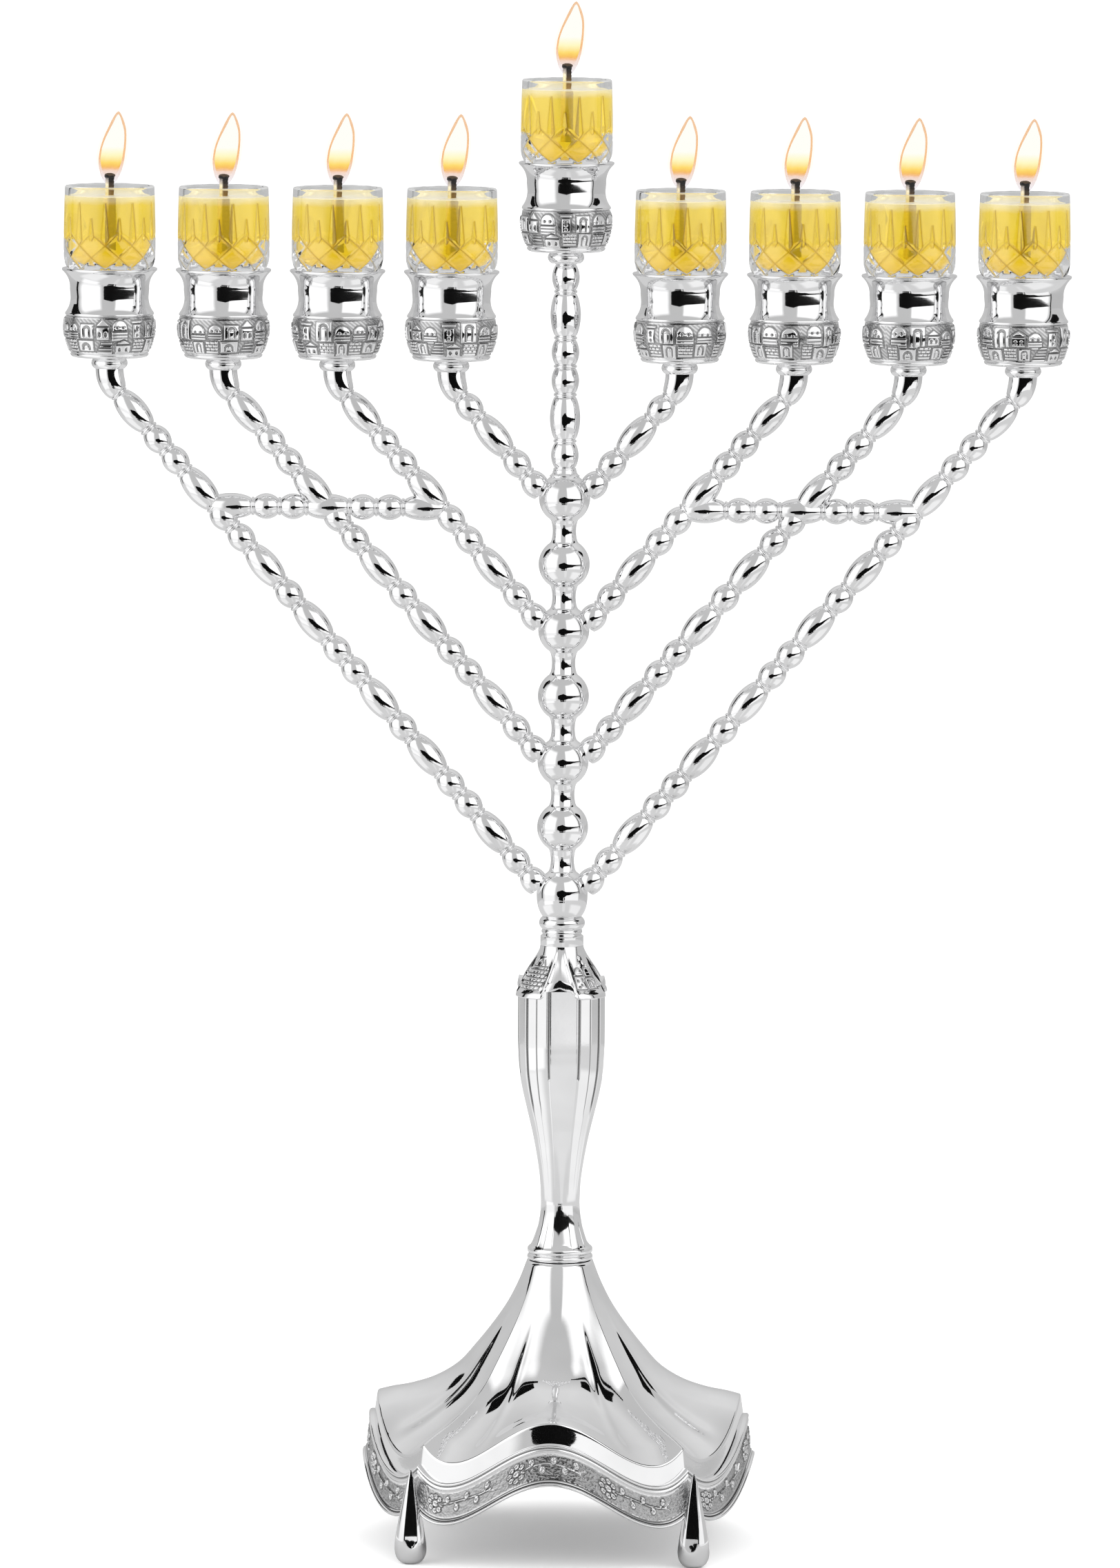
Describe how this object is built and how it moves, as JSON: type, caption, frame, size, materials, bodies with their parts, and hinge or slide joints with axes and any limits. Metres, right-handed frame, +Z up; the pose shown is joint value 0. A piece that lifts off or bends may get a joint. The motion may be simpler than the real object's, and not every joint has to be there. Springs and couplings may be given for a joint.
{
  "type": "menorah",
  "caption": "Table menorah for oil lights: beaded arms and a raised centre light on a ball column, baluster stem and domed base, each light a metal cup with a glass oil cup and wick.",
  "frame": {"origin": "on the floor under the centre of the base", "axes": "+Z up along the stem, arms spread along X, front face towards -Y"},
  "size_m": [0.3194, 0.1254, 0.474],
  "materials": {
    "silver_plate": "mirror polished silver plate",
    "steel_fixings": "plain turned steel",
    "clear_glass": "clear cut glass",
    "lamp_oil": "clear golden oil",
    "wick": "oil-soaked braid with a charred tip"
  },
  "bodies": {
    "frame": {"base_shell": "silver_plate", "feet": "silver_plate", "lower_collar": "silver_plate", "baluster": "silver_plate", "capital": "silver_plate", "upper_collar": "silver_plate", "column": "silver_plate", "shamash_stem": "silver_plate", "tie_rod": "steel_fixings", "base_nut": "steel_fixings", "base_washer": "steel_fixings", "cup_screws": "steel_fixings", "arm_left_1": "silver_plate", "arm_left_2": "silver_plate", "arm_left_3": "silver_plate", "arm_left_4": "silver_plate", "brace_left": "silver_plate", "arm_right_1": "silver_plate", "arm_right_2": "silver_plate", "arm_right_3": "silver_plate", "arm_right_4": "silver_plate", "brace_right": "silver_plate", "cup_shamash": "silver_plate", "cup_left_1": "silver_plate", "cup_left_2": "silver_plate", "cup_left_3": "silver_plate", "cup_left_4": "silver_plate", "cup_right_1": "silver_plate", "cup_right_2": "silver_plate", "cup_right_3": "silver_plate", "cup_right_4": "silver_plate"},
    "glass_shamash": {"glass_shamash": "clear_glass", "oil_shamash": "lamp_oil"},
    "wick_shamash": {"wick_shamash": "wick"},
    "glass_left_1": {"glass_left_1": "clear_glass", "oil_left_1": "lamp_oil"},
    "wick_left_1": {"wick_left_1": "wick"},
    "glass_left_2": {"glass_left_2": "clear_glass", "oil_left_2": "lamp_oil"},
    "wick_left_2": {"wick_left_2": "wick"},
    "glass_left_3": {"glass_left_3": "clear_glass", "oil_left_3": "lamp_oil"},
    "wick_left_3": {"wick_left_3": "wick"},
    "glass_left_4": {"glass_left_4": "clear_glass", "oil_left_4": "lamp_oil"},
    "wick_left_4": {"wick_left_4": "wick"},
    "glass_right_1": {"glass_right_1": "clear_glass", "oil_right_1": "lamp_oil"},
    "wick_right_1": {"wick_right_1": "wick"},
    "glass_right_2": {"glass_right_2": "clear_glass", "oil_right_2": "lamp_oil"},
    "wick_right_2": {"wick_right_2": "wick"},
    "glass_right_3": {"glass_right_3": "clear_glass", "oil_right_3": "lamp_oil"},
    "wick_right_3": {"wick_right_3": "wick"},
    "glass_right_4": {"glass_right_4": "clear_glass", "oil_right_4": "lamp_oil"},
    "wick_right_4": {"wick_right_4": "wick"}
  },
  "joints": [
    {"name": "glass_lift_shamash", "type": "slide", "parent": "frame", "child": "glass_shamash", "axis": [0, 0, 1], "range_m": [0, 0.04]},
    {"name": "wick_lift_shamash", "type": "slide", "parent": "glass_shamash", "child": "wick_shamash", "axis": [0, 0, 1], "range_m": [0, 0.03]},
    {"name": "glass_lift_left_1", "type": "slide", "parent": "frame", "child": "glass_left_1", "axis": [0, 0, 1], "range_m": [0, 0.04]},
    {"name": "wick_lift_left_1", "type": "slide", "parent": "glass_left_1", "child": "wick_left_1", "axis": [0, 0, 1], "range_m": [0, 0.03]},
    {"name": "glass_lift_left_2", "type": "slide", "parent": "frame", "child": "glass_left_2", "axis": [0, 0, 1], "range_m": [0, 0.04]},
    {"name": "wick_lift_left_2", "type": "slide", "parent": "glass_left_2", "child": "wick_left_2", "axis": [0, 0, 1], "range_m": [0, 0.03]},
    {"name": "glass_lift_left_3", "type": "slide", "parent": "frame", "child": "glass_left_3", "axis": [0, 0, 1], "range_m": [0, 0.04]},
    {"name": "wick_lift_left_3", "type": "slide", "parent": "glass_left_3", "child": "wick_left_3", "axis": [0, 0, 1], "range_m": [0, 0.03]},
    {"name": "glass_lift_left_4", "type": "slide", "parent": "frame", "child": "glass_left_4", "axis": [0, 0, 1], "range_m": [0, 0.04]},
    {"name": "wick_lift_left_4", "type": "slide", "parent": "glass_left_4", "child": "wick_left_4", "axis": [0, 0, 1], "range_m": [0, 0.03]},
    {"name": "glass_lift_right_1", "type": "slide", "parent": "frame", "child": "glass_right_1", "axis": [0, 0, 1], "range_m": [0, 0.04]},
    {"name": "wick_lift_right_1", "type": "slide", "parent": "glass_right_1", "child": "wick_right_1", "axis": [0, 0, 1], "range_m": [0, 0.03]},
    {"name": "glass_lift_right_2", "type": "slide", "parent": "frame", "child": "glass_right_2", "axis": [0, 0, 1], "range_m": [0, 0.04]},
    {"name": "wick_lift_right_2", "type": "slide", "parent": "glass_right_2", "child": "wick_right_2", "axis": [0, 0, 1], "range_m": [0, 0.03]},
    {"name": "glass_lift_right_3", "type": "slide", "parent": "frame", "child": "glass_right_3", "axis": [0, 0, 1], "range_m": [0, 0.04]},
    {"name": "wick_lift_right_3", "type": "slide", "parent": "glass_right_3", "child": "wick_right_3", "axis": [0, 0, 1], "range_m": [0, 0.03]},
    {"name": "glass_lift_right_4", "type": "slide", "parent": "frame", "child": "glass_right_4", "axis": [0, 0, 1], "range_m": [0, 0.04]},
    {"name": "wick_lift_right_4", "type": "slide", "parent": "glass_right_4", "child": "wick_right_4", "axis": [0, 0, 1], "range_m": [0, 0.03]}
  ]
}
